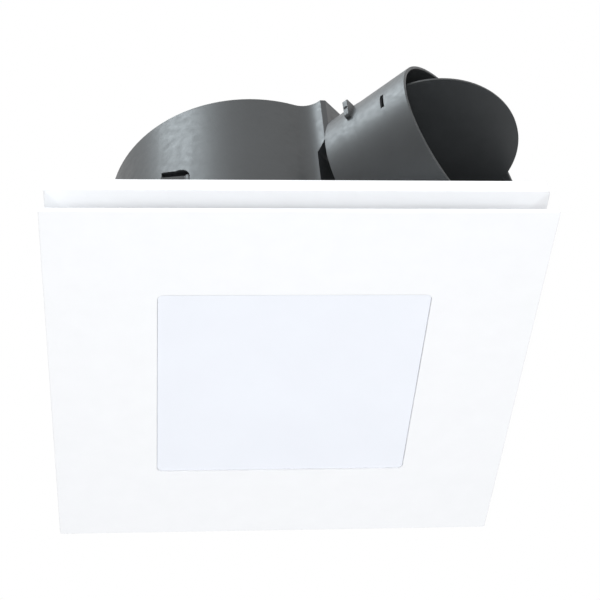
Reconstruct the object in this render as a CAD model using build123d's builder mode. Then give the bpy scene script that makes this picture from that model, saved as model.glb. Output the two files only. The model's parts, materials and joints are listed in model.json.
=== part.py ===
from build123d import *
from math import cos, radians, sin
import os

# Bathroom extractor fan with a lit square front panel.  Millimetres, +Z up.
# Origin: the middle of the square frame, on the plane where it meets the ceiling.
# Everything below z = 0 hangs in the room, everything above it is in the ceiling void.

os.makedirs("parts", exist_ok=True)

# ------------------------------------------------------------------ driving dimensions
PANEL = 350.0               # front panel, square
PANEL_T = 3.0
PANEL_FACE_Z = -35.0        # room side of the front panel
PANEL_BACK_Z = PANEL_FACE_Z + PANEL_T
CORNER_R = 2.0              # outer corners of panel and frame

FRAME = 345.0               # ceiling frame, square
FRAME_RIM_H = 11.0          # visible side of the frame
FRAME_T = 2.5
FRAME_SLOPE_RUN = 14.0      # the underside dips this far in from the edge ...
FRAME_SLOPE_DROP = 3.0      # ... by this much
FLOOR_BOTTOM_Z = -FRAME_RIM_H - FRAME_SLOPE_DROP
FLOOR_Z = FLOOR_BOTTOM_Z + FRAME_T      # upper side of the frame's floor

WINDOW = 193.6              # light window in the front panel
WINDOW_R = 4.5
DIFFUSER_RECESS = 1.2

DUCT_AZIMUTH = -43.75       # direction the duct leaves in, about +Z from +X
DUCT_R = 75.0               # outside of the 150 mm spigot
DUCT_WALL = 2.5
DUCT_Z = 89.6               # height of the duct's axis
MOUTH_REACH = 184.8         # from the origin to the spigot's mouth, along the duct
SPIGOT_L = 74.5
DUCT_PUSH = 47.0            # the duct pushes this far over the spigot's plain front ...
DUCT_DRAFT_END = 56.0       # ... behind which the spigot grows to its larger root
ROOT_R = DUCT_R + 0.6

DRUM_X, DRUM_Y = -22.5, -4.2    # fan axis
DRUM_R = 111.0
WALL = 2.5
TOP_Z = DUCT_Z + DUCT_R
TOP_T = 3.0
CEILING_Z = TOP_Z - TOP_T   # underside of the drum's top

NECK_R = DUCT_R - DUCT_WALL - 0.2       # the spigot pushes over this neck
NECK_WALL = 2.3
NECK_FRONT = 60.0           # distances back from the mouth
NECK_PLATE_T = 2.0
PLATE_FRONT = SPIGOT_L - NECK_PLATE_T
BOX_FRONT = 79.8            # outlet box, whose upper corners stand out like ears
BOX_FACE_T = 3.0
EAR_SIDE = 62.6
EAR_LOW_Z = 121.0
EAR_CHAMFER = 2.8
THROAT_SIDE = 44.0          # below its ear the box is only this wide on the clamp side
COLLAR_SIDE = 52.0
DRUM_FLAT_BACK = 90.0       # the drum is cut flat here, behind the spigot
EAR_DROP = 15.0             # the ear's underside slopes down this far to the flat

FLAP_R = 66.5
FLAP_T = 1.6
FLAP_AXIS_BACK = 51.4       # pivot, back from the mouth
FLAP_AXIS_UP = 24.4         # pivot, above the duct's axis
SPINDLE_R = 1.5
PIN_CLEARANCE = 0.05

SHAFT_R = 4.0
STACK_LOW, STACK_HIGH = 112.0, 136.0    # laminated stack of the motor
STATOR_R = 43.5
ROTOR_R = 24.2
AIR_GAP = 0.4
SHIELD_H = 11.25
IMPELLER_R = 85.0
IMPELLER_EYE_R = 68.0
BLADES = 32
IMPELLER_LOW, IMPELLER_PLATE = 13.0, 94.0

CLAMP_AZIMUTHS = (-126.6, 53.4, 143.4)  # about the origin
CLAMP_REACH = 120.0         # from the origin to each clamp screw
CLAMP_SCREW_R = 2.0
CHANNEL_TOP = 106.0
CHANNEL_LEFT, CHANNEL_RIGHT = 26.5, 7.0
CHANNEL_DEEP = 9.0
CHANNEL_WALL = 2.0
CHANNEL_MID = (CHANNEL_LEFT - CHANNEL_RIGHT) / 2
CHANNEL_OPEN = 30.0         # the channel is open outward, past the drum's wall
DOG_ARM = 22.0
DOG_LOW, DOG_HIGH = 78.5, 90.5
DOG_BOSS_R = 5.0
DOG_REST = 29.6             # at rest each dog is turned this far outward from the tangent

POST_AT = 128.0             # the panel's four posts, from the middle in X and Y
SCREW_POSTS = ((110.0, 0.0), (0.0, 110.0), (-110.0, 0.0), (0.0, -110.0))

DRIVER_X, DRIVER_Y = DRUM_X, -26.0      # the light's power supply, on the drum's top
DRIVER_EAR = 54.0

# ------------------------------------------------------------------ placing
duct_dir = Vector(cos(radians(DUCT_AZIMUTH)), sin(radians(DUCT_AZIMUTH)), 0)
duct_side = Vector(-sin(radians(DUCT_AZIMUTH)), cos(radians(DUCT_AZIMUTH)), 0)
mouth = duct_dir * MOUTH_REACH + Vector(0.9, 1.2, DUCT_Z)
drum_axis = Vector(DRUM_X, DRUM_Y, 0)
DRUM_BACK = (mouth - drum_axis).dot(duct_dir)   # fan axis, back from the mouth


def duct_plane(back):
    """Plane across the duct: local x is sideways, local y is up, normal points out."""
    return Plane(origin=mouth - duct_dir * back, x_dir=duct_side, z_dir=duct_dir)


def drum_plane(z):
    """Level plane centred on the fan axis."""
    return Plane(origin=(DRUM_X, DRUM_Y, z))


def clamp_plane(azimuth, z):
    """Level plane centred on a clamp screw: local x is tangential, local y is outward."""
    out = Vector(cos(radians(azimuth)), sin(radians(azimuth)), 0)
    left = Vector(sin(radians(azimuth)), -cos(radians(azimuth)), 0)
    return Plane(origin=out * CLAMP_REACH + Vector(0, 0, z), x_dir=left)


def save(builder, name):
    builder.part.label = name
    export_step(builder.part, f"parts/{name}.step")
    return builder


def disc(plane, radius, amount, hole=0.0, mode=Mode.ADD):
    """Round plate or ring on a plane."""
    with BuildSketch(plane) as profile:
        Circle(radius)
        if hole:
            Circle(hole, mode=Mode.SUBTRACT)
    extrude(profile.sketch, amount=amount, mode=mode)


# ------------------------------------------------------------------ fan housing
BOSS_AZIMUTHS = (-85.0, -150.0, 175.0, 95.0, 60.0, 25.0)
BOSS_AT = DRUM_R - 5.7
BOSS_R = 4.0
BOSS_TOP = 8.0
PILOT_R = 1.3
PILLAR_AZIMUTHS = (30.0, 150.0, 270.0)
PILLAR_AT = 60.0
PILLAR_R = 6.0
BRACKET_LOW = STACK_HIGH + SHIELD_H
BRACKET_T = 1.5
GROMMET_FLANGE = 3.0
EAR_ROOT_R = 19.5
TOWER_WEBS = (-2.0, 20.0)
TOWER_WEB_L = 50.0
WINDOW_RIGHT, WINDOW_LEFT = -3.7, 20.9      # clamp window, either side of the clamp screw
WINDOW_SHOULDER_Z = 76.0
WINDOW_BEND_Z = 85.0
WINDOW_TOP_Z = 104.4
PILLAR_LOW = BRACKET_LOW + BRACKET_T + GROMMET_FLANGE


def across(left, right, low_z, high_z):
    """Rectangle in a plane across the duct, from left to right and between two heights."""
    with Locations(((left + right) / 2, (low_z + high_z) / 2 - DUCT_Z)):
        return Rectangle(right - left, high_z - low_z)


def passage(side, wall, radius):
    """The way out of the box: round, but cut off flat at both sides and at the ear's floor."""
    with BuildSketch(duct_plane(PLATE_FRONT)) as section:
        Circle(radius)
        with Locations(((EAR_SIDE - side) / 2, 0)):
            Rectangle(EAR_SIDE + side - 2 * wall, 2 * DUCT_R, mode=Mode.INTERSECT)
    return section.sketch


def clamp_window():
    """Opening for a clamp in the drum's wall, seen from outside: its top slopes up to the left."""
    with BuildLine() as outline:
        low_right = (-CHANNEL_RIGHT, FLOOR_Z)
        Polyline(low_right, (-CHANNEL_RIGHT, WINDOW_SHOULDER_Z), (WINDOW_RIGHT, WINDOW_SHOULDER_Z + 4),
                 (WINDOW_RIGHT, WINDOW_BEND_Z))
        ThreePointArc((WINDOW_RIGHT, WINDOW_BEND_Z), (WINDOW_RIGHT + 3.2, WINDOW_BEND_Z + 8.6), (8.0, 97.6))
        Polyline((8.0, 97.6), (WINDOW_LEFT, WINDOW_TOP_Z), (WINDOW_LEFT, WINDOW_TOP_Z - 5.4),
                 (CHANNEL_LEFT, WINDOW_SHOULDER_Z + 14), (CHANNEL_LEFT, FLOOR_Z), low_right)
    make_face(outline.line)


with BuildPart() as housing:
    disc(drum_plane(FLOOR_Z), DRUM_R, TOP_Z - FLOOR_Z)
    with BuildSketch(duct_plane(DRUM_FLAT_BACK)):
        across(-DRUM_R, DRUM_R, FLOOR_Z - 1, TOP_Z + 1)
    extrude(amount=DRUM_FLAT_BACK, mode=Mode.SUBTRACT)
    with BuildSketch(duct_plane(BOX_FRONT)):
        across(-EAR_SIDE, EAR_SIDE, FLOOR_Z, TOP_Z)
    extrude(amount=-(DRUM_BACK - BOX_FRONT))
    box_corners = (
        housing.edges()
        .filter_by(Axis.Z)
        .filter_by(lambda edge: abs((mouth - edge.center()).dot(duct_dir) - BOX_FRONT) < 0.1)
        .filter_by(lambda edge: abs(abs((edge.center() - mouth).dot(duct_side)) - EAR_SIDE) < 0.1)
    )
    chamfer(box_corners, EAR_CHAMFER)
    ear_roots = (
        housing.edges()
        .filter_by(Axis.Z)
        .filter_by(lambda edge: abs((edge.center() - mouth).dot(duct_side) + EAR_SIDE) < 0.1)
        .filter_by(lambda edge: (mouth - edge.center()).dot(duct_dir) > DRUM_FLAT_BACK)
    )
    fillet(ear_roots, EAR_ROOT_R)
    with BuildSketch(Plane(origin=mouth - duct_side * THROAT_SIDE, x_dir=-duct_dir, z_dir=duct_side)):
        with BuildLine():
            Polyline((0, EAR_LOW_Z - DUCT_Z), (BOX_FRONT, EAR_LOW_Z - DUCT_Z),
                     (DRUM_FLAT_BACK, EAR_LOW_Z - EAR_DROP - DUCT_Z), (DRUM_FLAT_BACK, FLOOR_Z - DUCT_Z - 1),
                     (0, FLOOR_Z - DUCT_Z - 1), close=True)
        make_face()
    extrude(amount=-DRUM_R, mode=Mode.SUBTRACT)
    with BuildSketch(clamp_plane(CLAMP_AZIMUTHS[1], FLOOR_Z)):
        with Locations((CHANNEL_MID, -1.0)):
            Rectangle(CHANNEL_LEFT + CHANNEL_RIGHT + 2 * CHANNEL_WALL, 2 * (CHANNEL_DEEP + 1))
        for x in TOWER_WEBS:
            with Locations((x, -TOWER_WEB_L / 2 - CHANNEL_DEEP + 4)):
                Rectangle(CHANNEL_WALL, TOWER_WEB_L)
    extrude(amount=CHANNEL_TOP + CHANNEL_WALL - FLOOR_Z)

    with BuildSketch(drum_plane(FLOOR_Z)) as inside:
        Circle(DRUM_R - WALL)
        with Locations(Location((0, 0, 0), (0, 0, DUCT_AZIMUTH))):
            with Locations((DRUM_BACK - DRUM_FLAT_BACK - WALL + DRUM_R / 2, 0)):
                Rectangle(DRUM_R, 2 * DRUM_R, mode=Mode.SUBTRACT)
    extrude(inside.sketch, amount=CEILING_Z - FLOOR_Z, mode=Mode.SUBTRACT)
    with BuildSketch(duct_plane(BOX_FRONT + BOX_FACE_T)):
        across(-THROAT_SIDE + WALL, EAR_SIDE - WALL, FLOOR_Z, CEILING_Z)
        across(-EAR_SIDE + WALL, EAR_SIDE - WALL, EAR_LOW_Z + WALL, CEILING_Z)
    extrude(amount=-(DRUM_BACK - BOX_FRONT - BOX_FACE_T), mode=Mode.SUBTRACT)

    for azimuth in (CLAMP_AZIMUTHS[0], CLAMP_AZIMUTHS[2]):
        drum_middle = clamp_plane(azimuth, 0).to_local_coords(drum_axis)
        with BuildSketch(clamp_plane(azimuth, FLOOR_Z)):
            with Locations((CHANNEL_MID, 5.0)):
                Rectangle(CHANNEL_LEFT + CHANNEL_RIGHT + 2 * CHANNEL_WALL, 2 * (CHANNEL_DEEP + 7))
            with Locations(drum_middle):
                Circle(DRUM_R - 0.5, mode=Mode.INTERSECT)
        extrude(amount=CHANNEL_TOP + CHANNEL_WALL - FLOOR_Z)
        with BuildSketch(clamp_plane(azimuth, FLOOR_Z)):
            with Locations((CHANNEL_MID, (CHANNEL_OPEN - CHANNEL_DEEP) / 2)):
                Rectangle(CHANNEL_LEFT + CHANNEL_RIGHT, CHANNEL_OPEN + CHANNEL_DEEP)
            with Locations(drum_middle):
                Circle(DRUM_R - WALL, mode=Mode.INTERSECT)
        extrude(amount=CHANNEL_TOP - FLOOR_Z, mode=Mode.SUBTRACT)
        ground = clamp_plane(azimuth, 0)
        with BuildSketch(Plane(origin=ground.origin, x_dir=ground.x_dir, z_dir=-ground.y_dir)):
            clamp_window()
        extrude(amount=-CHANNEL_OPEN, mode=Mode.SUBTRACT)
        disc(clamp_plane(azimuth, FLOOR_Z), DOG_BOSS_R + 0.4, DOG_HIGH + 1 - FLOOR_Z, mode=Mode.SUBTRACT)
    with BuildSketch(clamp_plane(CLAMP_AZIMUTHS[1], FLOOR_Z)):
        with Locations((CHANNEL_MID, (CHANNEL_OPEN - CHANNEL_DEEP) / 2)):
            Rectangle(CHANNEL_LEFT + CHANNEL_RIGHT, CHANNEL_OPEN + CHANNEL_DEEP)
    extrude(amount=CHANNEL_TOP - FLOOR_Z, mode=Mode.SUBTRACT)

    with BuildSketch(drum_plane(FLOOR_Z)):
        for azimuth in BOSS_AZIMUTHS:
            with PolarLocations(BOSS_AT, 1, azimuth):
                Circle(BOSS_R)
    extrude(amount=BOSS_TOP - FLOOR_Z)
    with BuildSketch(drum_plane(FLOOR_Z)):
        for azimuth in BOSS_AZIMUTHS:
            with PolarLocations(BOSS_AT, 1, azimuth):
                Circle(PILOT_R)
    extrude(amount=BOSS_TOP - FLOOR_Z - 3, mode=Mode.SUBTRACT)
    with BuildSketch(drum_plane(PILLAR_LOW)):
        for azimuth in PILLAR_AZIMUTHS:
            with PolarLocations(PILLAR_AT, 1, azimuth):
                Circle(PILLAR_R)
                Circle(PILOT_R + 0.7, mode=Mode.SUBTRACT)
    extrude(amount=CEILING_Z - PILLAR_LOW)

    with BuildSketch(Plane.XY.offset(CEILING_Z)):
        with Locations((DRIVER_X - DRIVER_EAR, DRIVER_Y), (DRIVER_X + DRIVER_EAR, DRIVER_Y)):
            Circle(PILOT_R)
    extrude(amount=TOP_T, mode=Mode.SUBTRACT)
    disc(duct_plane(NECK_FRONT), NECK_R, -(SPIGOT_L - NECK_FRONT), hole=NECK_R - NECK_WALL)
    disc(duct_plane(PLATE_FRONT), NECK_R, -NECK_PLATE_T)
    extrude(passage(COLLAR_SIDE, 0, NECK_R - NECK_WALL), amount=-(BOX_FRONT + 1 - PLATE_FRONT))
    extrude(passage(COLLAR_SIDE, WALL, NECK_R - NECK_WALL - WALL),
            amount=-(BOX_FRONT + 2 * BOX_FACE_T - PLATE_FRONT), mode=Mode.SUBTRACT)
save(housing, "housing")


# ------------------------------------------------------------------ outlet spigot and its screws
LUG_T = 4.0                     # boss round each end of the flap's spindle
LUG_LOW_Z, LUG_HIGH_Z = 104.5, 123.5
LUG_OUT = 77.0
LUG_CORNER_R = 2.0
STOP_IN_R = 64.5
STOP_T = 2.5
STOP_GAP = 0.6
LOWER_STOP_TOP = 20.0           # the stops end this far above the duct's axis ...
UPPER_STOP_LOW = 29.0           # ... and begin this far above it
MOUTH_EDGE_R = 0.8
SPIGOT_SCREW_R = 1.6
SPIGOT_SCREW_BACK = 66.5
SPIGOT_SCREW_ANGLES = (90.0, 0.0, -90.0)
SLOT_BACK = 21.0
SLOT_ANGLE = 174.0
SLOT_L, SLOT_W = 16.0, 3.0


with BuildPart() as outlet_spigot:
    with BuildSketch(Plane(origin=mouth, x_dir=duct_side, z_dir=(0, 0, -1))):
        with BuildLine():
            Polyline((DUCT_R - DUCT_WALL, 0), (DUCT_R, 0), (DUCT_R, -DUCT_PUSH), (ROOT_R, -DUCT_DRAFT_END),
                     (ROOT_R, -SPIGOT_L), (DUCT_R - DUCT_WALL, -SPIGOT_L), close=True)
        make_face()
    revolve(axis=Axis(mouth, duct_dir))
    fillet(outlet_spigot.edges().group_by(Axis(mouth, duct_dir))[-1], MOUTH_EDGE_R)
    with BuildSketch(duct_plane(FLAP_AXIS_BACK - LUG_T / 2)) as lugs:
        across(-LUG_OUT, LUG_OUT, LUG_LOW_Z, LUG_HIGH_Z)
        fillet(lugs.vertices(), LUG_CORNER_R)
        Circle(DUCT_R - DUCT_WALL / 2, mode=Mode.SUBTRACT)
    extrude(amount=-LUG_T)
    with BuildSketch(duct_plane(FLAP_AXIS_BACK + FLAP_T / 2 + STOP_GAP)):
        Circle(DUCT_R - DUCT_WALL / 2)
        Circle(STOP_IN_R, mode=Mode.SUBTRACT)
        with Locations((0, LOWER_STOP_TOP - DUCT_R)):
            Rectangle(2 * DUCT_R, 2 * DUCT_R, mode=Mode.INTERSECT)
    extrude(amount=-STOP_T)
    with BuildSketch(duct_plane(FLAP_AXIS_BACK - FLAP_T / 2 - STOP_GAP)):
        Circle(DUCT_R - DUCT_WALL / 2)
        Circle(STOP_IN_R, mode=Mode.SUBTRACT)
        with Locations((0, UPPER_STOP_LOW + DUCT_R)):
            Rectangle(2 * DUCT_R, 2 * DUCT_R, mode=Mode.INTERSECT)
    extrude(amount=STOP_T)
    with BuildSketch(Plane(origin=mouth - duct_dir * FLAP_AXIS_BACK + Vector(0, 0, FLAP_AXIS_UP),
                           x_dir=duct_dir, z_dir=duct_side)):
        Circle(SPINDLE_R + PIN_CLEARANCE)
    extrude(amount=2 * DUCT_R, both=True, mode=Mode.SUBTRACT)
    for angle in SPIGOT_SCREW_ANGLES:
        out = duct_side * cos(radians(angle)) + Vector(0, 0, sin(radians(angle)))
        with BuildSketch(Plane(origin=mouth - duct_dir * SPIGOT_SCREW_BACK, x_dir=duct_dir, z_dir=out)):
            Circle(SPIGOT_SCREW_R)
        extrude(amount=DUCT_R + 1, mode=Mode.SUBTRACT)
    slot_out = duct_side * cos(radians(SLOT_ANGLE)) + Vector(0, 0, sin(radians(SLOT_ANGLE)))
    with BuildSketch(Plane(origin=mouth - duct_dir * SLOT_BACK, x_dir=duct_dir, z_dir=slot_out)):
        Rectangle(SLOT_W, SLOT_L)
    extrude(amount=DUCT_R + 1, mode=Mode.SUBTRACT)
save(outlet_spigot, "outlet_spigot")

with BuildPart() as spigot_screws:
    for angle in SPIGOT_SCREW_ANGLES:
        out = duct_side * cos(radians(angle)) + Vector(0, 0, sin(radians(angle)))
        spot = mouth - duct_dir * SPIGOT_SCREW_BACK
        disc(Plane(origin=spot + out * ROOT_R, x_dir=duct_dir, z_dir=out), 3.2, 2.0)
        disc(Plane(origin=spot + out * (NECK_R + 0.1), x_dir=duct_dir, z_dir=out),
             SPIGOT_SCREW_R - 0.1, ROOT_R - NECK_R - 0.1)
save(spigot_screws, "spigot_screws")

# ------------------------------------------------------------------ backdraught flap
flap_pivot = mouth - duct_dir * FLAP_AXIS_BACK + Vector(0, 0, FLAP_AXIS_UP)
flap_centre = flap_pivot + duct_dir * FLAP_AXIS_UP
BARREL_R = 3.0
BARREL_HALF = 58.0
FLAP_RIB_L, FLAP_RIB_T = 100.0, 1.6
FLAP_RIB_ANGLES = (-40, 0, 40)
SPINDLE_HALF = 76.0
across_duct = Plane(origin=flap_pivot, x_dir=duct_dir, z_dir=duct_side)

with BuildPart() as backdraught_flap:
    disc(Plane(origin=flap_centre - Vector(0, 0, FLAP_T / 2)), FLAP_R, FLAP_T)
    with BuildSketch(across_duct):
        Circle(BARREL_R)
    extrude(amount=BARREL_HALF, both=True)
    for angle in FLAP_RIB_ANGLES:
        with BuildSketch(Plane(origin=flap_centre + Vector(0, 0, FLAP_T / 2), x_dir=duct_dir)):
            with Locations(Rotation(0, 0, angle)):
                Rectangle(FLAP_RIB_L, FLAP_RIB_T)
        extrude(amount=FLAP_RIB_T)
    with BuildSketch(across_duct):
        Circle(SPINDLE_R + 0.02)
    extrude(amount=FLAP_R, both=True, mode=Mode.SUBTRACT)
save(backdraught_flap, "backdraught_flap")

with BuildPart() as flap_spindle:
    with BuildSketch(across_duct):
        Circle(SPINDLE_R)
    extrude(amount=SPINDLE_HALF, both=True)
save(flap_spindle, "flap_spindle")

# ------------------------------------------------------------------ ceiling frame
INLET_R = 86.0
POST_HOLE_R = 5.0
FRAME_SCREW_R = 1.6
INLET_SCREWS = 4
INLET_SCREW_AT = 89.8
INLET_SCREW_TURN = 20.0
LIGHT_PLUG_Y = 128.0
RIB_AT, RIB_L, RIB_T = 158.0, 240.0, 2.0
posts = ((POST_AT, POST_AT), (-POST_AT, POST_AT), (POST_AT, -POST_AT), (-POST_AT, -POST_AT))


def tray(side, drop_side, rim_z, low_z, radius):
    """The two squares between which the frame's underside, or its hollow, slopes down."""
    with BuildSketch(Plane.XY.offset(rim_z)) as upper:
        RectangleRounded(side, side, radius)
    with BuildSketch(Plane.XY.offset(low_z)) as lower:
        RectangleRounded(drop_side, drop_side, radius)
    return [upper.sketch, lower.sketch]


with BuildPart() as ceiling_frame:
    shell = tray(FRAME, FRAME - 2 * FRAME_SLOPE_RUN, -FRAME_RIM_H, FLOOR_BOTTOM_Z, CORNER_R)
    extrude(shell[0], amount=FRAME_RIM_H)
    loft(shell)
    inner = FRAME - 2 * FRAME_T
    hollow = tray(inner, inner - 2 * FRAME_SLOPE_RUN, -FRAME_RIM_H + FRAME_T, FLOOR_Z, CORNER_R / 2)
    extrude(hollow[0], amount=FRAME_RIM_H, mode=Mode.SUBTRACT)
    loft(hollow, mode=Mode.SUBTRACT)
    disc(drum_plane(FLOOR_BOTTOM_Z), INLET_R, FRAME_T, mode=Mode.SUBTRACT)
    with BuildSketch(drum_plane(FLOOR_BOTTOM_Z)):
        for azimuth in BOSS_AZIMUTHS:
            with PolarLocations(BOSS_AT, 1, azimuth):
                Circle(FRAME_SCREW_R)
        with PolarLocations(INLET_SCREW_AT, INLET_SCREWS, INLET_SCREW_TURN):
            Circle(FRAME_SCREW_R)
    extrude(amount=FRAME_T, mode=Mode.SUBTRACT)
    with BuildSketch(Plane.XY.offset(FLOOR_BOTTOM_Z)):
        with Locations(*posts):
            Circle(POST_HOLE_R)
        with Locations((0, LIGHT_PLUG_Y)):
            Rectangle(14, 7)
    extrude(amount=FRAME_T, mode=Mode.SUBTRACT)
    for azimuth in CLAMP_AZIMUTHS:
        disc(clamp_plane(azimuth, FLOOR_BOTTOM_Z), CLAMP_SCREW_R + 0.3, FRAME_T, mode=Mode.SUBTRACT)
    for side in (-1, 1):
        with BuildSketch(Plane.XY.offset(FLOOR_Z)):
            with Locations((side * RIB_AT, 0)):
                Rectangle(RIB_T, RIB_L)
            with Locations((0, side * RIB_AT)):
                Rectangle(RIB_L, RIB_T)
        extrude(amount=-FLOOR_Z)
save(ceiling_frame, "ceiling_frame")

with BuildPart() as frame_screws:
    for azimuth in BOSS_AZIMUTHS:
        spot = drum_axis + Vector(BOSS_AT, 0, 0).rotate(Axis.Z, azimuth)
        disc(Plane(origin=spot + Vector(0, 0, FLOOR_BOTTOM_Z)), 3.0, -2.0)
        disc(Plane(origin=spot + Vector(0, 0, FLOOR_BOTTOM_Z)), PILOT_R - 0.05, 12.0)
save(frame_screws, "frame_screws")

# ------------------------------------------------------------------ inlet: guard, bell mouth, screws
GUARD_T = 1.8
GUARD_FLANGE_R = 92.6
GUARD_FLANGE_IN = 81.0
GUARD_BAR = 1.6
GUARD_HUB_R = 14.0
GUARD_RINGS = (72.0, 60.0, 48.0, 36.0, 24.0)
GUARD_SPOKES, GUARD_SPOKE_TURN = 6, 10.0
BELL_MOUTH_R = 83.0
THROAT_R = 66.0
BELL_FLANGE_Z = FLOOR_Z + GUARD_T
BELL_TOP_Z = IMPELLER_LOW - 1.5
BELL_T = 2.0

with BuildPart() as inlet_guard:
    with BuildSketch(drum_plane(FLOOR_Z)):
        Circle(GUARD_FLANGE_R)
        Circle(GUARD_FLANGE_IN, mode=Mode.SUBTRACT)
        for radius in GUARD_RINGS:
            Circle(radius)
            Circle(radius - GUARD_BAR, mode=Mode.SUBTRACT)
        Circle(GUARD_HUB_R)
        with PolarLocations((GUARD_HUB_R + GUARD_FLANGE_IN) / 2, GUARD_SPOKES, GUARD_SPOKE_TURN):
            Rectangle(GUARD_FLANGE_IN - GUARD_HUB_R + 2, GUARD_BAR)
        with PolarLocations(INLET_SCREW_AT, INLET_SCREWS, INLET_SCREW_TURN):
            Circle(FRAME_SCREW_R, mode=Mode.SUBTRACT)
    extrude(amount=GUARD_T)
save(inlet_guard, "inlet_guard")

with BuildPart() as inlet_ring:
    with BuildSketch(Plane(origin=drum_axis, x_dir=(1, 0, 0), z_dir=(0, -1, 0))):
        with BuildLine():
            Line((GUARD_FLANGE_R, BELL_FLANGE_Z), (BELL_MOUTH_R, BELL_FLANGE_Z))
            bell_centre = (BELL_MOUTH_R, BELL_TOP_Z)
            EllipticalCenterArc(bell_centre, BELL_MOUTH_R - THROAT_R, BELL_TOP_Z - BELL_FLANGE_Z,
                                start_angle=180, arc_size=90)
            Line((THROAT_R, BELL_TOP_Z), (THROAT_R + BELL_T, BELL_TOP_Z))
            EllipticalCenterArc(bell_centre, BELL_MOUTH_R - THROAT_R - BELL_T,
                                BELL_TOP_Z - BELL_FLANGE_Z - BELL_T, start_angle=180, arc_size=90)
            Line((BELL_MOUTH_R, BELL_FLANGE_Z + BELL_T), (GUARD_FLANGE_R, BELL_FLANGE_Z + BELL_T))
            Line((GUARD_FLANGE_R, BELL_FLANGE_Z + BELL_T), (GUARD_FLANGE_R, BELL_FLANGE_Z))
        make_face()
    revolve(axis=Axis(drum_axis, (0, 0, 1)))
    with BuildSketch(drum_plane(BELL_FLANGE_Z)):
        with PolarLocations(INLET_SCREW_AT, INLET_SCREWS, INLET_SCREW_TURN):
            Circle(PILOT_R)
    extrude(amount=BELL_T, mode=Mode.SUBTRACT)
save(inlet_ring, "inlet_ring")

with BuildPart() as inlet_screws:
    with BuildSketch(drum_plane(FLOOR_BOTTOM_Z)):
        with PolarLocations(INLET_SCREW_AT, INLET_SCREWS, INLET_SCREW_TURN):
            Circle(3.0)
    extrude(amount=-2.0)
    with BuildSketch(drum_plane(FLOOR_BOTTOM_Z)):
        with PolarLocations(INLET_SCREW_AT, INLET_SCREWS, INLET_SCREW_TURN):
            Circle(PILOT_R - 0.05)
    extrude(amount=FRAME_T + GUARD_T + BELL_T + 2.0)
save(inlet_screws, "inlet_screws")

# ------------------------------------------------------------------ motor
SHIELD_T = 3.0
YOKE = 6.0
BUSH_R = 8.0
BUSH_L = 10.0
POCKET_R = 11.0
SLOTS = 8
TOOTH_W = 8.0
SHOE_T = 2.4
SHOE_GAP = 3.0
COIL_IN, COIL_OUT = 28.5, 36.5
COIL_T = 4.0
COIL_GAP = 0.2
BOLT_AT = STATOR_R - YOKE / 2
BOLT_R = 1.6
BOLTS = 4
BOLT_TURN = 22.5
BOLT_HEAD_R, BOLT_HEAD_T = 2.9, 1.6
BOLT_END = 3.4
BOLT_NUT_R, BOLT_NUT_T = 3.1, 2.4
BRACKET_R = 44.0
ARM_W = 18.0
GROMMET_HOLE_R = 6.0
GROMMET_R, GROMMET_BORE_R = 9.0, 2.1
VENT_AT, VENTS, VENT_TURN = 25.0, 6, 7.0
VENT_L, VENT_W = 14.0, 5.0
fan_axis = Axis(drum_axis, (0, 0, 1))


def profile_plane():
    """Upright plane through the fan axis: local x is the radius, local y is height."""
    return Plane(origin=drum_axis, x_dir=(1, 0, 0), z_dir=(0, -1, 0))


def bolt_holes(plane, radius, amount, mode=Mode.SUBTRACT):
    with BuildSketch(plane) as holes:
        with PolarLocations(BOLT_AT, BOLTS, BOLT_TURN):
            Circle(radius)
    extrude(holes.sketch, amount=amount, mode=mode)


with BuildPart() as stator_core:
    bore = ROTOR_R + AIR_GAP
    with BuildSketch(drum_plane(STACK_LOW)):
        Circle(STATOR_R)
        Circle(STATOR_R - YOKE, mode=Mode.SUBTRACT)
        with PolarLocations((bore + STATOR_R - YOKE) / 2, SLOTS):
            Rectangle(STATOR_R - YOKE - bore + 2, TOOTH_W)
        Circle(bore + SHOE_T)
        with PolarLocations(bore + SHOE_T / 2, SLOTS, 180 / SLOTS):
            Rectangle(2 * SHOE_T, SHOE_GAP, mode=Mode.SUBTRACT)
        Circle(bore, mode=Mode.SUBTRACT)
    extrude(amount=STACK_HIGH - STACK_LOW)
    bolt_holes(drum_plane(STACK_LOW), BOLT_R + 0.1, STACK_HIGH - STACK_LOW)
save(stator_core, "stator_core")

with BuildPart() as stator_windings:
    with BuildSketch(drum_plane(STACK_LOW - COIL_T)):
        with PolarLocations((COIL_IN + COIL_OUT) / 2, SLOTS):
            Rectangle(COIL_OUT - COIL_IN, TOOTH_W + 2 * COIL_T)
    extrude(amount=STACK_HIGH - STACK_LOW + 2 * COIL_T)
    fillet(stator_windings.edges().filter_by(Plane.XY), 1.5)
    with BuildSketch(drum_plane(STACK_LOW - COIL_GAP)):
        with PolarLocations((COIL_IN + COIL_OUT) / 2, SLOTS):
            Rectangle(COIL_OUT - COIL_IN + 1, TOOTH_W + 2 * COIL_GAP)
    extrude(amount=STACK_HIGH - STACK_LOW + 2 * COIL_GAP, mode=Mode.SUBTRACT)
save(stator_windings, "stator_windings")


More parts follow.
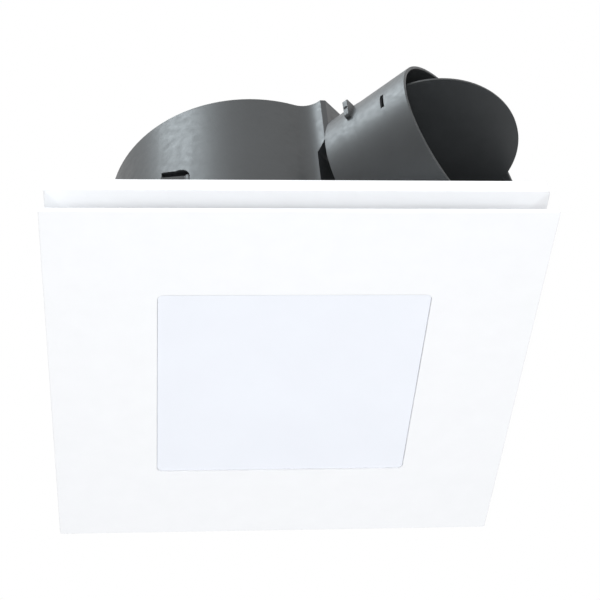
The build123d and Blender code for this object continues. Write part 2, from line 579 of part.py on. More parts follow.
def end_shield(stack_z, toward):
    """Cup over one end of the stack, with a pocket for its bush."""
    outer = stack_z + toward * SHIELD_H
    roof = outer - toward * SHIELD_T
    pocket = outer - toward * BUSH_L
    with BuildSketch(profile_plane()) as cup:
        with BuildLine() as outline:
            Polyline((BUSH_R, pocket), (POCKET_R, pocket), (POCKET_R, roof), (STATOR_R - 3, roof),
                     (STATOR_R - 3, stack_z), (STATOR_R, stack_z), (STATOR_R, outer), (BUSH_R, outer),
                     close=True)
        make_face(outline.line)
    revolve(cup.sketch, axis=fan_axis)
    with BuildSketch(drum_plane(stack_z)) as pads:
        with PolarLocations(BOLT_AT - 1.5, BOLTS, BOLT_TURN):
            Circle(BOLT_R + 2.4)
        Circle(STATOR_R, mode=Mode.INTERSECT)
    extrude(pads.sketch, amount=toward * SHIELD_H)
    bolt_holes(drum_plane(stack_z), BOLT_R + 0.1, toward * SHIELD_H)
    with BuildSketch(drum_plane(stack_z)) as vents:
        with PolarLocations(VENT_AT, VENTS, VENT_TURN):
            SlotOverall(VENT_L, VENT_W, rotation=90)
    extrude(vents.sketch, amount=toward * (SHIELD_H + 1), mode=Mode.SUBTRACT)


with BuildPart() as upper_end_shield:
    end_shield(STACK_HIGH, 1)
save(upper_end_shield, "upper_end_shield")

with BuildPart() as lower_end_shield:
    end_shield(STACK_LOW, -1)
save(lower_end_shield, "lower_end_shield")

MOTOR_LOW = STACK_LOW - SHIELD_H
with BuildPart() as upper_bush:
    disc(drum_plane(BRACKET_LOW), BUSH_R, -BUSH_L, hole=SHAFT_R + 0.03)
save(upper_bush, "upper_bush")

with BuildPart() as lower_bush:
    disc(drum_plane(MOTOR_LOW), BUSH_R, BUSH_L, hole=SHAFT_R + 0.03)
save(lower_bush, "lower_bush")

with BuildPart() as motor_bracket:
    with BuildSketch(drum_plane(BRACKET_LOW)):
        Circle(BRACKET_R)
        for azimuth in PILLAR_AZIMUTHS:
            with PolarLocations(PILLAR_AT / 2, 1, azimuth):
                Rectangle(PILLAR_AT, ARM_W)
            with PolarLocations(PILLAR_AT, 1, azimuth):
                Circle(ARM_W / 2)
        for azimuth in PILLAR_AZIMUTHS:
            with PolarLocations(PILLAR_AT, 1, azimuth):
                Circle(GROMMET_HOLE_R, mode=Mode.SUBTRACT)
        Circle(POCKET_R, mode=Mode.SUBTRACT)
        with PolarLocations(27.0, 3, 90):
            SlotOverall(20.0, 8.0, rotation=90, mode=Mode.SUBTRACT)
    extrude(amount=BRACKET_T)
    bolt_holes(drum_plane(BRACKET_LOW), BOLT_R + 0.1, BRACKET_T)
save(motor_bracket, "motor_bracket")

with BuildPart() as motor_grommets:
    for azimuth in PILLAR_AZIMUTHS:
        spot = drum_axis + Vector(PILLAR_AT, 0, 0).rotate(Axis.Z, azimuth)
        for z, radius, height in ((BRACKET_LOW - GROMMET_FLANGE, GROMMET_R, GROMMET_FLANGE),
                                  (BRACKET_LOW, GROMMET_HOLE_R, BRACKET_T),
                                  (BRACKET_LOW + BRACKET_T, GROMMET_R, GROMMET_FLANGE)):
            disc(Plane(origin=spot + Vector(0, 0, z)), radius, height, hole=GROMMET_BORE_R)
save(motor_grommets, "motor_grommets")

with BuildPart() as bracket_screws:
    for azimuth in PILLAR_AZIMUTHS:
        spot = drum_axis + Vector(PILLAR_AT, 0, BRACKET_LOW - GROMMET_FLANGE).rotate(Axis.Z, azimuth)
        disc(Plane(origin=spot), 6.0, -1.0)
        disc(Plane(origin=spot - Vector(0, 0, 1.0)), 3.8, -2.4)
        disc(Plane(origin=spot), 1.95, 2 * GROMMET_FLANGE + BRACKET_T + 8.0)
save(bracket_screws, "bracket_screws")

with BuildPart() as motor_bolts:
    bolt_low = MOTOR_LOW - BOLT_HEAD_T
    bolt_holes(drum_plane(bolt_low), BOLT_R, BRACKET_LOW + BRACKET_T + BOLT_END - bolt_low, mode=Mode.ADD)
    bolt_holes(drum_plane(bolt_low), BOLT_HEAD_R, BOLT_HEAD_T, mode=Mode.ADD)
    with BuildSketch(drum_plane(BRACKET_LOW + BRACKET_T)):
        with PolarLocations(BOLT_AT, BOLTS, BOLT_TURN):
            RegularPolygon(BOLT_NUT_R, 6)
    extrude(amount=BOLT_NUT_T)
save(motor_bolts, "motor_bolts")

with BuildPart() as rotor_core:
    disc(drum_plane(STACK_LOW), ROTOR_R, STACK_HIGH - STACK_LOW, hole=SHAFT_R)
    for z, toward in ((STACK_LOW, -1), (STACK_HIGH, 1)):
        disc(drum_plane(z), ROTOR_R - 0.6, toward * 2.0, hole=ROTOR_R - 8)
save(rotor_core, "rotor_core")

SHAFT_LOW, SHAFT_HIGH = 69.0, BRACKET_LOW + 0.5
with BuildPart() as motor_shaft:
    disc(drum_plane(SHAFT_LOW), SHAFT_R, SHAFT_HIGH - SHAFT_LOW)
    chamfer(motor_shaft.edges().filter_by(GeomType.CIRCLE), 0.5)
save(motor_shaft, "motor_shaft")

# ------------------------------------------------------------------ impeller
HUB_R = 11.0
HUB_LOW = 78.0
PLATE_T = 2.4
BLADE_T = 1.6
SHROUD_T = 3.0

with BuildPart() as impeller:
    disc(drum_plane(IMPELLER_PLATE), IMPELLER_R, PLATE_T)
    disc(drum_plane(HUB_LOW), HUB_R, IMPELLER_PLATE - HUB_LOW + PLATE_T + 2.0)
    disc(drum_plane(IMPELLER_LOW), IMPELLER_R, SHROUD_T, hole=IMPELLER_EYE_R)
    with BuildSketch(drum_plane(HUB_LOW + 4)):
        with PolarLocations(HUB_R + 9, 6):
            Rectangle(20, 2)
    extrude(amount=IMPELLER_PLATE - HUB_LOW - 4)
    with BuildSketch(drum_plane(IMPELLER_LOW + SHROUD_T)):
        for index in range(BLADES):
            turn = 360.0 / BLADES * index
            with BuildLine(mode=Mode.PRIVATE) as vane:
                ThreePointArc(
                    Vector(IMPELLER_EYE_R + 0.8, 0).rotate(Axis.Z, turn),
                    Vector((IMPELLER_EYE_R + IMPELLER_R) / 2, 0).rotate(Axis.Z, turn + 1.2),
                    Vector(IMPELLER_R - 0.8, 0).rotate(Axis.Z, turn - 4.5),
                )
            trace(vane.line, line_width=BLADE_T)
    extrude(amount=IMPELLER_PLATE - IMPELLER_LOW - SHROUD_T)
    disc(drum_plane(HUB_LOW), SHAFT_R + 0.01, IMPELLER_PLATE - HUB_LOW + 5, mode=Mode.SUBTRACT)
save(impeller, "impeller")

with BuildPart() as impeller_washer:
    disc(drum_plane(HUB_LOW), 9.0, -1.5, hole=SHAFT_R + 0.1)
save(impeller_washer, "impeller_washer")

with BuildPart() as impeller_nut:
    with BuildSketch(drum_plane(HUB_LOW - 1.5)):
        RegularPolygon(7.2, 6)
        Circle(SHAFT_R + 0.01, mode=Mode.SUBTRACT)
    extrude(amount=-6.0)
save(impeller_nut, "impeller_nut")


# ------------------------------------------------------------------ ceiling clamps
SCREW_HEAD_R = 4.0
NUT_R = 3.8
NUT_T = 3.4
NUT_LOW = DOG_LOW + 6.3
DOG_W = 7.0
DOG_ARM_LOW = DOG_HIGH - 5.0
DOG_RIB_H, DOG_RIB_T = 4.0, 2.0
POCKET_GAP = 0.3


def dog_plane(azimuth, z):
    """Level plane centred on a clamp screw: local x runs along the dog's arm at rest."""
    spot = clamp_plane(azimuth, z)
    return Plane(origin=spot.origin, x_dir=spot.x_dir.rotate(Axis.Z, DOG_REST))


with BuildPart() as clamp_screws:
    for azimuth in CLAMP_AZIMUTHS:
        disc(clamp_plane(azimuth, FLOOR_BOTTOM_Z), SCREW_HEAD_R, -2.4)
        disc(clamp_plane(azimuth, FLOOR_BOTTOM_Z), CLAMP_SCREW_R, CHANNEL_TOP - 1.0 - FLOOR_BOTTOM_Z)
        with BuildSketch(clamp_plane(azimuth, FLOOR_BOTTOM_Z - 2.4)):
            Rectangle(4.4, 1.0)
            Rectangle(1.0, 4.4)
        extrude(amount=1.4, mode=Mode.SUBTRACT)
save(clamp_screws, "clamp_screws")

for number, azimuth in enumerate(CLAMP_AZIMUTHS, start=1):
    with BuildPart() as clamp_nut:
        disc(clamp_plane(azimuth, NUT_LOW), NUT_R, NUT_T, hole=CLAMP_SCREW_R + PIN_CLEARANCE)
    save(clamp_nut, f"clamp_nut_{number}")
    with BuildPart() as clamp_dog:
        disc(clamp_plane(azimuth, DOG_LOW), DOG_BOSS_R, DOG_HIGH - DOG_LOW)
        with BuildSketch(dog_plane(azimuth, DOG_ARM_LOW)):
            with Locations((DOG_ARM / 2, 0)):
                Rectangle(DOG_ARM, DOG_W)
        extrude(amount=DOG_HIGH - DOG_ARM_LOW)
        with BuildSketch(dog_plane(azimuth, DOG_ARM_LOW - DOG_RIB_H)):
            with Locations((DOG_ARM / 3, 0)):
                Rectangle(2 * DOG_ARM / 3, DOG_RIB_T)
        extrude(amount=DOG_RIB_H)
        disc(clamp_plane(azimuth, NUT_LOW - POCKET_GAP), NUT_R + POCKET_GAP, DOG_HIGH - NUT_LOW + 1,
             mode=Mode.SUBTRACT)
        disc(clamp_plane(azimuth, DOG_LOW), CLAMP_SCREW_R + 0.35, DOG_HIGH - DOG_LOW, mode=Mode.SUBTRACT)
    save(clamp_dog, f"clamp_dog_{number}")

# ------------------------------------------------------------------ front panel and light
POST_R = 6.0
STUD_R = 2.6
STUD_HEAD_R = 4.0
POST_TOP = FLOOR_BOTTOM_Z - 0.3
STUD_TOP = -4.5
TRAY = 208.0
TRAY_T = 1.2
TRAY_TOP = -25.5
EAR_W = 12.0
LIP = 201.0                 # the diffuser's lip lies on the back of the panel
LIP_T = 1.2
BOARD = 168.0
BOARD_T = 1.6
LED = 5.0
LED_T = 0.8
LEDS = 6
LED_PITCH = 28.0
EDGE_RIB_IN, EDGE_RIB_T, EDGE_RIB_H = 9.0, 2.0, 3.0
STUD_HEAD_H = 3.0
PANEL_BOSS_R = 4.0
SCREW_EAR = EAR_W + 4
BOARD_HOLE_AT, BOARD_HOLE_R = 70.0, 1.6
PIN_AT = 4.0

with BuildPart() as front_panel:
    with BuildSketch(Plane.XY.offset(PANEL_FACE_Z)):
        RectangleRounded(PANEL, PANEL, CORNER_R)
        RectangleRounded(WINDOW, WINDOW, WINDOW_R, mode=Mode.SUBTRACT)
    extrude(amount=PANEL_T)
    face_edges = front_panel.edges().group_by(Axis.Z)[0]
    rim = PANEL / 2 - CORNER_R
    fillet(face_edges.filter_by(lambda edge: max(abs(edge.center().X), abs(edge.center().Y)) > rim), 0.6)
    with BuildSketch(Plane.XY.offset(PANEL_BACK_Z)):
        RectangleRounded(PANEL - 2 * EDGE_RIB_IN, PANEL - 2 * EDGE_RIB_IN, CORNER_R)
        inside_rib = PANEL - 2 * EDGE_RIB_IN - 2 * EDGE_RIB_T
        RectangleRounded(inside_rib, inside_rib, CORNER_R, mode=Mode.SUBTRACT)
    extrude(amount=EDGE_RIB_H)
    with BuildSketch(Plane.XY.offset(PANEL_BACK_Z)):
        with Locations(*SCREW_POSTS):
            Circle(PANEL_BOSS_R)
            Circle(PILOT_R, mode=Mode.SUBTRACT)
    extrude(amount=TRAY_TOP - TRAY_T - PANEL_BACK_Z)
    with BuildSketch(Plane.XY.offset(PANEL_BACK_Z)):
        with Locations(*posts):
            Circle(POST_R)
    extrude(amount=POST_TOP - PANEL_BACK_Z)
    with BuildSketch(Plane.XY.offset(POST_TOP)):
        with Locations(*posts):
            Circle(STUD_R)
    extrude(amount=STUD_TOP - POST_TOP)
    with BuildSketch(Plane.XY.offset(STUD_TOP - STUD_HEAD_H)):
        with Locations(*posts):
            Circle(STUD_HEAD_R)
    extrude(amount=STUD_HEAD_H)
    chamfer(front_panel.edges().group_by(Axis.Z)[-1], 1.4)
save(front_panel, "front_panel")

with BuildPart() as led_diffuser:
    with BuildSketch(Plane.XY.offset(PANEL_FACE_Z + DIFFUSER_RECESS)):
        RectangleRounded(WINDOW - 0.4, WINDOW - 0.4, WINDOW_R - 0.2)
    extrude(amount=PANEL_T - DIFFUSER_RECESS)
    with BuildSketch(Plane.XY.offset(PANEL_BACK_Z)):
        RectangleRounded(LIP, LIP, WINDOW_R)
    extrude(amount=LIP_T)
save(led_diffuser, "led_diffuser")

with BuildPart() as led_tray:
    with BuildSketch(Plane.XY.offset(PANEL_BACK_Z)):
        RectangleRounded(TRAY, TRAY, 3.0)
    extrude(amount=TRAY_TOP - PANEL_BACK_Z)
    with BuildSketch(Plane.XY.offset(PANEL_BACK_Z)):
        RectangleRounded(TRAY - 2 * TRAY_T, TRAY - 2 * TRAY_T, 2.0)
    extrude(amount=TRAY_TOP - TRAY_T - PANEL_BACK_Z, mode=Mode.SUBTRACT)
    with BuildSketch(Plane.XY.offset(TRAY_TOP - TRAY_T)):
        for x, y in SCREW_POSTS:
            with Locations((x, y)):
                Rectangle(SCREW_EAR, SCREW_EAR)
        RectangleRounded(TRAY - 1, TRAY - 1, 2.0, mode=Mode.SUBTRACT)
        with Locations(*SCREW_POSTS):
            Circle(FRAME_SCREW_R, mode=Mode.SUBTRACT)
    extrude(amount=TRAY_T)
save(led_tray, "led_tray")

BOARD_TOP = TRAY_TOP - TRAY_T
with BuildPart() as led_board:
    with BuildSketch(Plane.XY.offset(BOARD_TOP)):
        RectangleRounded(BOARD, BOARD, 3.0)
        Circle(BOARD_HOLE_R, mode=Mode.SUBTRACT)
        with GridLocations(2 * BOARD_HOLE_AT, 2 * BOARD_HOLE_AT, 2, 2):
            Circle(BOARD_HOLE_R, mode=Mode.SUBTRACT)
    extrude(amount=-BOARD_T)
save(led_board, "led_board")

with BuildPart() as led_chips:
    with BuildSketch(Plane.XY.offset(BOARD_TOP - BOARD_T)):
        with GridLocations(LED_PITCH, LED_PITCH, LEDS, LEDS):
            RectangleRounded(LED, LED, 0.6)
    extrude(amount=-LED_T)
save(led_chips, "led_chips")

with BuildPart() as tray_screws:
    with BuildSketch(Plane.XY.offset(TRAY_TOP)):
        with Locations(*SCREW_POSTS):
            Circle(2.8)
    extrude(amount=1.8)
    with BuildSketch(Plane.XY.offset(TRAY_TOP)):
        with Locations(*SCREW_POSTS):
            Circle(PILOT_R - 0.05)
    extrude(amount=-5.5)
save(tray_screws, "tray_screws")

with BuildPart() as light_plug:
    with BuildSketch(Plane.XY.offset(PANEL_BACK_Z)):
        with Locations((0, LIGHT_PLUG_Y)):
            RectangleRounded(18, 10, 1.5)
    extrude(amount=FLOOR_BOTTOM_Z - 1.0 - PANEL_BACK_Z)
    with BuildSketch(Plane.XY.offset(FLOOR_BOTTOM_Z - 1.0)):
        with Locations((-PIN_AT, LIGHT_PLUG_Y), (PIN_AT, LIGHT_PLUG_Y)):
            Circle(0.8)
    extrude(amount=8.0)
save(light_plug, "light_plug")

with BuildPart() as light_socket:
    with BuildSketch(Plane.XY.offset(FLOOR_Z)):
        with Locations((0, LIGHT_PLUG_Y)):
            RectangleRounded(22, 13, 1.5)
    extrude(amount=9.5)
    with BuildSketch(Plane.XY.offset(FLOOR_Z)):
        with Locations((-PIN_AT, LIGHT_PLUG_Y), (PIN_AT, LIGHT_PLUG_Y)):
            Circle(1.15)
    extrude(amount=7.5, mode=Mode.SUBTRACT)
save(light_socket, "light_socket")

CLIP_T = 0.8
CLIP_L, CLIP_W = 20.0, 12.0
FINGER_AT, FINGER_W, FINGER_H = 5.8, 8.0, 6.0
NIB_AT, NIB_L = 5.1, 1.4
with BuildPart() as panel_clips:
    with BuildSketch(Plane.XY.offset(FLOOR_Z)):
        with Locations(*posts):
            Rectangle(CLIP_L, CLIP_W)
            Circle(POST_HOLE_R, mode=Mode.SUBTRACT)
    extrude(amount=CLIP_T)
    with BuildSketch(Plane.XY.offset(FLOOR_Z + CLIP_T)):
        for x, y in posts:
            with Locations((x - FINGER_AT, y), (x + FINGER_AT, y)):
                Rectangle(CLIP_T, FINGER_W)
    extrude(amount=FINGER_H)
    with BuildSketch(Plane.XY.offset(FLOOR_Z + FINGER_H)):
        for x, y in posts:
            with Locations((x - NIB_AT, y), (x + NIB_AT, y)):
                Rectangle(NIB_L, FINGER_W)
    extrude(amount=CLIP_T)
save(panel_clips, "panel_clips")

# ------------------------------------------------------------------ wiring boxes on the drum's top
BOX_X, BOX_Y = DRUM_X, 44.0
BOX_L, BOX_W, BOX_H = 112.0, 66.0, 34.0
BOX_WALL = 2.0
COVER_T = 2.4
GLAND_X = BOX_X + 30.0
BLOCK_X = BOX_X + 22.0
BLOCK_L, BLOCK_W, BLOCK_H = 40.0, 16.0, 14.0
TERMINALS, TERMINAL_PITCH = 4, 9.5
GLAND_BORE_R = 4.5
GLAND_Z = TOP_Z + 17.0
COVER_SCREW_AT = 50.0
COVER_SCREWS = ((BOX_X - COVER_SCREW_AT, BOX_Y), (BOX_X + COVER_SCREW_AT, BOX_Y))
BOX_CORNER_R = 5.0
box_plane = Plane(origin=(BOX_X, BOX_Y, TOP_Z))
gland_plane = Plane(origin=(GLAND_X, BOX_Y + BOX_W / 2, GLAND_Z), x_dir=(-1, 0, 0), z_dir=(0, 1, 0))

with BuildPart() as terminal_box:
    with BuildSketch(box_plane):
        RectangleRounded(BOX_L, BOX_W, BOX_CORNER_R)
    extrude(amount=BOX_H)
    with BuildSketch(box_plane.offset(BOX_WALL)):
        RectangleRounded(BOX_L - 2 * BOX_WALL, BOX_W - 2 * BOX_WALL, 3)
    extrude(amount=BOX_H, mode=Mode.SUBTRACT)
    with BuildSketch(box_plane):
        with Locations((-COVER_SCREW_AT, 0), (COVER_SCREW_AT, 0)):
            Circle(4.2)
    extrude(amount=BOX_H)
    with BuildSketch(box_plane.offset(BOX_WALL)):
        with Locations((-COVER_SCREW_AT, 0), (COVER_SCREW_AT, 0)):
            Circle(PILOT_R)
    extrude(amount=BOX_H, mode=Mode.SUBTRACT)
    disc(gland_plane.offset(-5), 8.0, 10, mode=Mode.SUBTRACT)
save(terminal_box, "terminal_box")

with BuildPart() as terminal_cover:
    with BuildSketch(box_plane.offset(BOX_H)):
        RectangleRounded(BOX_L, BOX_W, BOX_CORNER_R)
        with Locations((-COVER_SCREW_AT, 0), (COVER_SCREW_AT, 0)):
            Circle(FRAME_SCREW_R, mode=Mode.SUBTRACT)
    extrude(amount=COVER_T)
    fillet(terminal_cover.edges().group_by(Axis.Z)[-1].filter_by(lambda edge: edge.length > 6), 0.8)
save(terminal_cover, "terminal_cover")

with BuildPart() as cover_screws:
    for x, y in COVER_SCREWS:
        disc(Plane(origin=(x, y, TOP_Z + BOX_H + COVER_T)), 3.0, 1.8)
        disc(Plane(origin=(x, y, TOP_Z + BOX_H + COVER_T)), PILOT_R - 0.05, -10.0)
save(cover_screws, "cover_screws")

with BuildPart() as cable_gland:
    disc(gland_plane.offset(-6), 7.9, 6)
    with BuildSketch(gland_plane.offset(-6)):
        RegularPolygon(11.0, 6)
        Circle(7.0, mode=Mode.SUBTRACT)
    extrude(amount=4.0)
    with BuildSketch(gland_plane):
        RegularPolygon(11.0, 6)
    extrude(amount=6.0)
    disc(gland_plane.offset(6), 9.0, 8)
    fillet(cable_gland.edges().group_by(Axis.Y)[-1], 2.5)
    disc(gland_plane.offset(-6), GLAND_BORE_R, 20, mode=Mode.SUBTRACT)
save(cable_gland, "cable_gland")

with BuildPart() as terminal_block:
    with BuildSketch(Plane(origin=(BLOCK_X, BOX_Y + 2, TOP_Z + BOX_WALL))):
        Rectangle(BLOCK_L, BLOCK_W)
    extrude(amount=BLOCK_H)
    with BuildSketch(Plane(origin=(BLOCK_X, BOX_Y + 2, TOP_Z + BOX_WALL + BLOCK_H))):
        with GridLocations(TERMINAL_PITCH, 0, TERMINALS, 1):
            Circle(2.6)
    extrude(amount=-3.0, mode=Mode.SUBTRACT)
    wire_side = Plane(origin=(BLOCK_X, BOX_Y - 6, TOP_Z + BOX_WALL + 6.0), x_dir=(1, 0, 0), z_dir=(0, -1, 0))
    with BuildSketch(wire_side):
        with GridLocations(TERMINAL_PITCH, 0, TERMINALS, 1):
            Circle(2.2)
    extrude(amount=-BLOCK_W, mode=Mode.SUBTRACT)
save(terminal_block, "terminal_block")

with BuildPart() as terminal_screws:
    with BuildSketch(Plane(origin=(BLOCK_X, BOX_Y + 2, TOP_Z + BOX_WALL + BLOCK_H - 3.0))):
        with GridLocations(TERMINAL_PITCH, 0, TERMINALS, 1):
            Circle(2.3)
    extrude(amount=2.0)
save(terminal_screws, "terminal_screws")

CAPACITOR_L, CAPACITOR_W, CAPACITOR_H = 34.0, 46.0, 20.0
with BuildPart() as run_capacitor:
    with BuildSketch(Plane(origin=(BOX_X - 24, BOX_Y, TOP_Z + BOX_WALL))):
        RectangleRounded(CAPACITOR_L, CAPACITOR_W, 3)
    extrude(amount=CAPACITOR_H)
    fillet(run_capacitor.edges().group_by(Axis.Z)[-1], 1.5)
save(run_capacitor, "run_capacitor")

DRIVER_L, DRIVER_W, DRIVER_H = 96.0, 40.0, 23.0
DRIVER_FOOT_L, DRIVER_FOOT_W, DRIVER_FOOT_T = 122.0, 14.0, 2.5
with BuildPart() as led_driver:
    with BuildSketch(Plane(origin=(DRIVER_X, DRIVER_Y, TOP_Z))):
        RectangleRounded(DRIVER_L, DRIVER_W, 3)
    extrude(amount=DRIVER_H)
    fillet(led_driver.edges().group_by(Axis.Z)[-1], 2.0)
    with BuildSketch(Plane(origin=(DRIVER_X, DRIVER_Y, TOP_Z))):
        SlotOverall(DRIVER_FOOT_L, DRIVER_FOOT_W)
        RectangleRounded(DRIVER_L - 1, DRIVER_W - 1, 3, mode=Mode.SUBTRACT)
        with Locations((-DRIVER_EAR, 0), (DRIVER_EAR, 0)):
            Circle(FRAME_SCREW_R, mode=Mode.SUBTRACT)
    extrude(amount=DRIVER_FOOT_T)
save(led_driver, "led_driver")

with BuildPart() as driver_screws:
    for x in (DRIVER_X - DRIVER_EAR, DRIVER_X + DRIVER_EAR):
        foot_top = Plane(origin=(x, DRIVER_Y, TOP_Z + DRIVER_FOOT_T))
        disc(foot_top, 3.0, 1.8)
        disc(foot_top, PILOT_R - 0.05, -4.5)
save(driver_screws, "driver_screws")
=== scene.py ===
import json

import bpy
from mathutils import Matrix, Vector

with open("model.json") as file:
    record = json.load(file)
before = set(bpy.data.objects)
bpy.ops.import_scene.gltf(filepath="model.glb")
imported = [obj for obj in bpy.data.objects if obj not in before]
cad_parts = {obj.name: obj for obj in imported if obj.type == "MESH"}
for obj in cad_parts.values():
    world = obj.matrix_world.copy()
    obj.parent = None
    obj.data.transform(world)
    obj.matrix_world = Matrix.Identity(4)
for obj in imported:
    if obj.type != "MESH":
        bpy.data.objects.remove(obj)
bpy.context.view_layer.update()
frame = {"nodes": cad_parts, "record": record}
nodes = frame["nodes"]
scene = bpy.context.scene


# ------------------------------------------------------------------ material building blocks
# Lengths are in metres. Noise is used between NOISE_LOW and NOISE_HIGH, where most of it lies.
NOISE_LOW = 0.3
NOISE_HIGH = 0.7
EDGE_SAMPLES = 4            # rays for each softened edge
METAL_EDGE = 0.0003
PLASTIC_CLOUD = 0.018       # size of the faint patches of colour
PLASTIC_SHEEN = 0.006       # size of the patches of gloss
FLOW_RIPPLE = 0.05          # size and height of the ripples left by the moulding
FLOW_HEIGHT = 0.00022
PLASTIC_GRAIN = 0.0007
METAL_CLOUD = 0.004
METAL_SHEEN = 0.0012
METAL_MARK = 0.0006


class Shader:
    """A Principled material with small helpers for the nodes that feed it."""

    def __init__(self, name, color, roughness, metallic=0.0, specular=0.5, coat=0.0):
        self.material = bpy.data.materials.new(name)
        self.material.use_nodes = True
        self.tree = self.material.node_tree
        self.surface = self.tree.nodes["Principled BSDF"]
        self.surface.inputs["Base Color"].default_value = (*color, 1)
        self.surface.inputs["Roughness"].default_value = roughness
        self.surface.inputs["Metallic"].default_value = metallic
        self.surface.inputs["Specular IOR Level"].default_value = specular
        self.surface.inputs["Coat Weight"].default_value = coat
        self.name = name
        self.color = color
        self.roughness = roughness
        self.place = self.tree.nodes.new("ShaderNodeTexCoord").outputs["Object"]
        self.normal = None

    def link(self, source, target):
        self.tree.links.new(source, target)

    def scaled_place(self, stretch):
        mapping = self.tree.nodes.new("ShaderNodeMapping")
        mapping.inputs["Scale"].default_value = stretch
        self.link(self.place, mapping.inputs["Vector"])
        return mapping.outputs["Vector"]

    def noise(self, size, detail=2.0, rough=0.5, stretch=(1, 1, 1)):
        """Noise whose blobs are about size metres across."""
        texture = self.tree.nodes.new("ShaderNodeTexNoise")
        texture.inputs["Scale"].default_value = 1 / size
        texture.inputs["Detail"].default_value = detail
        texture.inputs["Roughness"].default_value = rough
        self.link(self.scaled_place(stretch), texture.inputs["Vector"])
        return texture.outputs["Fac"]

    def spread(self, source, low, high):
        """Noise stretched to run from low to high."""
        ramp = self.tree.nodes.new("ShaderNodeMapRange")
        ramp.inputs["From Min"].default_value = NOISE_LOW
        ramp.inputs["From Max"].default_value = NOISE_HIGH
        ramp.inputs["To Min"].default_value = low
        ramp.inputs["To Max"].default_value = high
        self.link(source, ramp.inputs["Value"])
        return ramp.outputs["Result"]

    def tint(self, source, dark, light):
        """Base colour that varies between dark and light times the material's colour."""
        mix = self.tree.nodes.new("ShaderNodeMix")
        mix.data_type = "RGBA"
        mix.inputs["A"].default_value = (*[c * dark for c in self.color], 1)
        mix.inputs["B"].default_value = (*[min(1.0, c * light) for c in self.color], 1)
        self.link(self.spread(source, 0, 1), mix.inputs["Factor"])
        self.link(mix.outputs["Result"], self.surface.inputs["Base Color"])

    def gloss(self, source, less, more):
        self.link(self.spread(source, self.roughness - less, self.roughness + more),
                  self.surface.inputs["Roughness"])

    def soft_edges(self, radius):
        """Corners catch the light as if rounded by this radius."""
        bevel = self.tree.nodes.new("ShaderNodeBevel")
        bevel.samples = EDGE_SAMPLES
        bevel.inputs["Radius"].default_value = radius
        self.normal = bevel.outputs["Normal"]
        self.link(self.normal, self.surface.inputs["Normal"])

    def bump(self, source, height):
        relief = self.tree.nodes.new("ShaderNodeBump")
        relief.inputs["Strength"].default_value = 1.0
        relief.inputs["Distance"].default_value = height
        self.link(source, relief.inputs["Height"])
        if self.normal:
            self.link(self.normal, relief.inputs["Normal"])
        self.normal = relief.outputs["Normal"]
        self.link(self.normal, self.surface.inputs["Normal"])


def plastic(name, color, roughness, flow, grain, specular=0.5, edge=0.0006):
    """Moulded plastic: faint cloudy colour, uneven gloss, long flow ripples and a fine grain."""
    shader = Shader(name, color, roughness, specular=specular)
    shader.tint(shader.noise(PLASTIC_CLOUD, detail=4), 1 - flow, 1 + flow)
    shader.gloss(shader.noise(PLASTIC_SHEEN, detail=5, rough=0.6), 0.05, 0.07)
    shader.soft_edges(edge)
    shader.bump(shader.noise(FLOW_RIPPLE, detail=1), FLOW_HEIGHT)
    shader.bump(shader.noise(PLASTIC_GRAIN, detail=2), grain)
    return shader


def metal(name, color, roughness, stretch=(1, 1, 1), scratch=0.00001):
    """Plated or machined metal with fine directional marks."""
    shader = Shader(name, color, roughness, metallic=1.0)
    shader.tint(shader.noise(METAL_CLOUD, detail=4), 0.88, 1.05)
    shader.gloss(shader.noise(METAL_SHEEN, detail=4, stretch=stretch), 0.08, 0.12)
    shader.soft_edges(METAL_EDGE)
    shader.bump(shader.noise(METAL_MARK, detail=3, stretch=stretch), scratch)
    return shader


# ------------------------------------------------------------------ materials
CHARCOAL = (0.031, 0.034, 0.036)
SOOT = (0.016, 0.017, 0.018)
WHITE = (0.902, 0.91, 0.925)


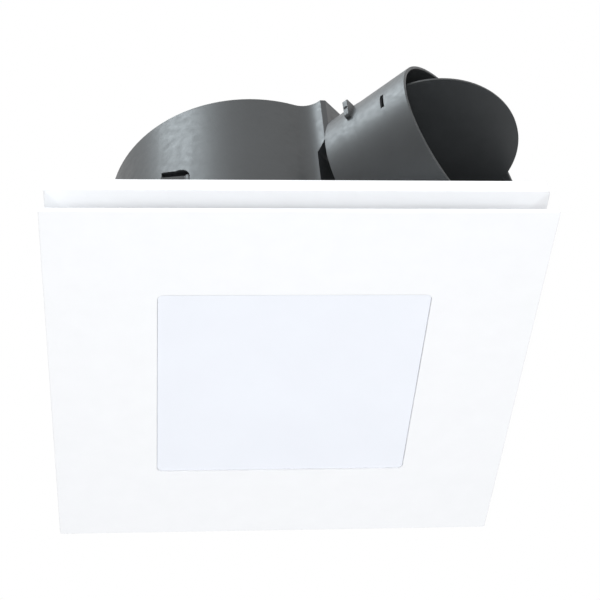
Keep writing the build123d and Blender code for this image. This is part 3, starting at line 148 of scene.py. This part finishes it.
def make_materials():
    """Every material of the frame, by its slot's name."""
    made = [
        plastic("charcoal_abs", CHARCOAL, 0.42, 0.06, 0.00002, specular=0.55),
        plastic("impeller_abs", SOOT, 0.38, 0.05, 0.00002),
        plastic("white_abs", WHITE, 0.36, 0.008, 0.000006, specular=0.35, edge=0.0008),
        plastic("black_nylon", SOOT, 0.45, 0.08, 0.00003),
        plastic("connector_white", (0.82, 0.81, 0.77), 0.35, 0.03, 0.00001),
        plastic("capacitor_case", (0.7, 0.7, 0.68), 0.3, 0.03, 0.00001),
    ]

    opal = Shader("opal", (0.85, 0.875, 0.93), 0.32, specular=0.45)
    opal.tint(opal.noise(0.05, detail=2), 0.99, 1.01)
    opal.gloss(opal.noise(0.003, detail=3), 0.03, 0.03)
    opal.bump(opal.noise(0.0009, detail=1), 0.000012)
    made.append(opal)

    paint = Shader("white_steel", (0.86, 0.86, 0.85), 0.45)
    paint.tint(paint.noise(0.01, detail=4), 0.98, 1.01)
    paint.soft_edges(0.0004)
    paint.bump(paint.noise(0.0012, detail=3), 0.00005)
    made.append(paint)

    board = Shader("board", (0.86, 0.86, 0.82), 0.35)
    board.tint(board.noise(0.004, detail=3), 0.96, 1.02)
    board.gloss(board.noise(0.002), 0.05, 0.05)
    made.append(board)

    chip = Shader("led", (0.9, 0.72, 0.2), 0.25, coat=0.4)
    chip.tint(chip.noise(0.0015, detail=2), 0.9, 1.05)
    made.append(chip)

    made += [
        metal("zinc_steel", (0.72, 0.73, 0.74), 0.24, stretch=(3, 3, 1)),
        metal("spring_steel", (0.55, 0.56, 0.57), 0.22, stretch=(1, 8, 1)),
        metal("brass", (0.78, 0.58, 0.25), 0.25, stretch=(1, 1, 5)),
        metal("cast_alloy", (0.5, 0.51, 0.52), 0.5, scratch=0.00012),
        metal("laminations", (0.25, 0.25, 0.26), 0.45, stretch=(0.2, 0.2, 6), scratch=0.00006),
        metal("bronze", (0.5, 0.32, 0.14), 0.4, scratch=0.00004),
    ]

    copper = Shader("enamelled_copper", (0.5, 0.13, 0.03), 0.28, metallic=0.6, coat=0.5)
    copper.tint(copper.noise(0.0012, detail=3, stretch=(1, 1, 4)), 0.7, 1.2)
    copper.bump(copper.noise(0.0006, detail=2, stretch=(4, 4, 1)), 0.0001)
    made.append(copper)

    rubber = Shader("rubber", (0.02, 0.02, 0.021), 0.7)
    rubber.tint(rubber.noise(0.003, detail=3), 0.8, 1.3)
    rubber.bump(rubber.noise(0.0008), 0.00004)
    made.append(rubber)
    return {shader.name: shader.material for shader in made}


materials = make_materials()
for part in frame["record"]["subparts"]:
    mesh = nodes[part["node"]].data
    mesh.materials.clear()
    mesh.materials.append(materials[part["material_slot"]])


# ------------------------------------------------------------------ stage, light and camera
def glow_panel(name, place, target, size, power, color=(1, 1, 1)):
    """A lit rectangle of size metres and power watts, turned from its place to the target."""
    lamp = bpy.data.lights.new(name, "AREA")
    lamp.shape = "RECTANGLE"
    lamp.size, lamp.size_y = size
    lamp.energy = power
    lamp.color = color
    holder = bpy.data.objects.new(name, lamp)
    holder.location = place
    holder.rotation_euler = (Vector(target) - Vector(place)).to_track_quat("-Z", "Y").to_euler()
    scene.collection.objects.link(holder)


FLOOR_Z = -2.4
FLOOR_HALF = 12.0
FLOOR_PAINT = (0.62, 0.62, 0.625)
SKY_BELOW = 0.62            # brightness of the surroundings from the horizon down ...
SKY_ABOVE = 1.0             # ... and from SKY_FULL_AT, the rise of a direction, up
SKY_FULL_AT = 0.3


def make_floor():
    mesh = bpy.data.meshes.new("floor")
    signs = ((-1, -1), (1, -1), (1, 1), (-1, 1))
    corners = [(x * FLOOR_HALF, y * FLOOR_HALF, FLOOR_Z) for x, y in signs]
    mesh.from_pydata(corners, [], [(0, 1, 2, 3)])
    floor = bpy.data.objects.new("floor", mesh)
    scene.collection.objects.link(floor)
    pale = Shader("floor_paint", FLOOR_PAINT, 0.7)
    pale.tint(pale.noise(0.5), 0.99, 1.0)
    mesh.materials.append(pale.material)


def make_surroundings():
    """White above, a little darker below, so that dark plastic isn't lit from underneath."""
    world = bpy.data.worlds.new("studio")
    world.use_nodes = True
    tree = world.node_tree
    direction = tree.nodes.new("ShaderNodeTexCoord")
    split = tree.nodes.new("ShaderNodeSeparateXYZ")
    fade = tree.nodes.new("ShaderNodeMapRange")
    fade.inputs["From Min"].default_value = 0.0
    fade.inputs["From Max"].default_value = SKY_FULL_AT
    fade.inputs["To Min"].default_value = SKY_BELOW
    fade.inputs["To Max"].default_value = SKY_ABOVE
    tree.links.new(direction.outputs["Generated"], split.inputs["Vector"])
    tree.links.new(split.outputs["Z"], fade.inputs["Value"])
    tree.links.new(fade.outputs["Result"], tree.nodes["Background"].inputs["Strength"])
    tree.nodes["Background"].inputs["Color"].default_value = (1, 1, 1, 1)
    scene.world = world


make_floor()
make_surroundings()

COOL = (0.89, 1.0, 1.06)
MIDDLE = (0, 0, 0)
glow_panel("key_left", (-1.27, -0.74, 2.3), (-0.05, -0.05, 0.1), (1.0, 1.2), 37, COOL)
glow_panel("front", (0.2, -2.6, 0.3), MIDDLE, (1.5, 1.5), 14)
glow_panel("front_low", (-0.1, -1.6, -1.6), MIDDLE, (1.0, 1.0), 17)
glow_panel("below", (0.1, 0.35, -1.4), MIDDLE, (0.4, 0.4), 2.9)

# The camera looks up at the fan from below and in front, as in the photograph.
CAMERA_PLACE = Vector((-0.1019, -0.8587, -0.8073))
CAMERA_FORWARD = Vector((0.09599, 0.70127, 0.70641))
CAMERA_RIGHT = Vector((0.99538, -0.06559, -0.07014))
SENSOR_MM = 36.0
LENS_MM = 93.36
camera_data = bpy.data.cameras.new("camera")
camera_data.sensor_width = SENSOR_MM
camera_data.lens = LENS_MM
camera = bpy.data.objects.new("camera", camera_data)
forward = CAMERA_FORWARD.normalized()
right = (CAMERA_RIGHT - forward * CAMERA_RIGHT.dot(forward)).normalized()
up = right.cross(forward)
turn = Matrix((right, up, -forward)).transposed().to_4x4()
camera.matrix_world = Matrix.Translation(CAMERA_PLACE) @ turn
scene.collection.objects.link(camera)
scene.camera = camera
scene.view_settings.view_transform = "Standard"
